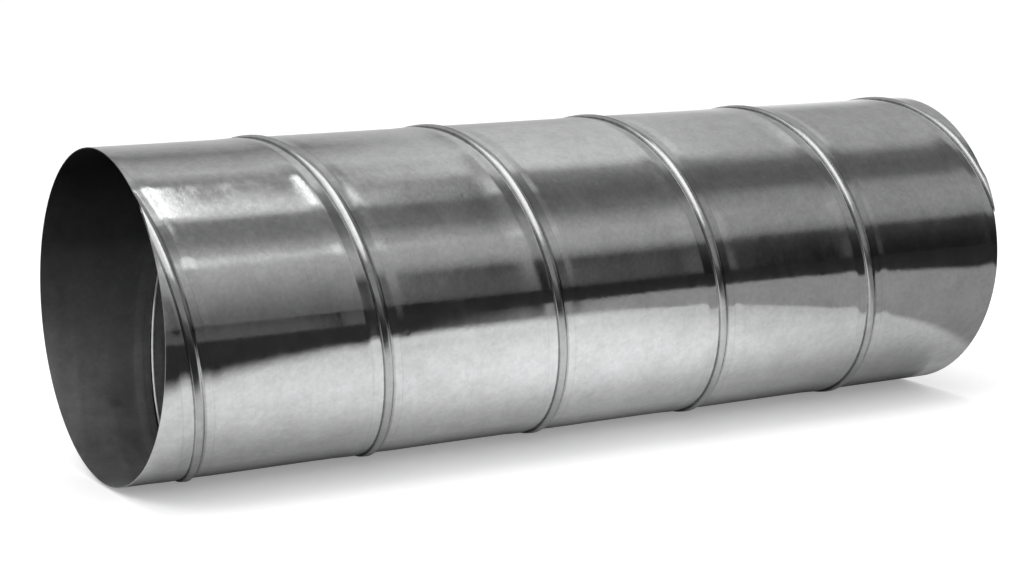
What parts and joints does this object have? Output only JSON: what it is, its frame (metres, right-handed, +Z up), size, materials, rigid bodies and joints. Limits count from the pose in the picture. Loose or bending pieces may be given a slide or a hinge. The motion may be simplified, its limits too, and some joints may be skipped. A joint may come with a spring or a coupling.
{
  "type": "spiral sheet metal duct",
  "caption": "Short length of round air duct wound from a galvanised steel strip, with a raised helical lock seam outside, a smooth bore and two plain open ends.",
  "frame": {"origin": "middle of the duct's length, below its axis, on the floor that its seams rest on", "axes": "+X along the duct's axis, away from the end that shows its opening in the picture; +Z up; -Y towards the viewer"},
  "size_m": [0.61, 0.2051, 0.2051],
  "materials": {
    "galvanised_steel": "bright galvanised sheet with a fine mottled spangle, smooth and unpainted"
  },
  "bodies": {
    "root": {"spiral_duct": "galvanised_steel"}
  },
  "joints": []
}
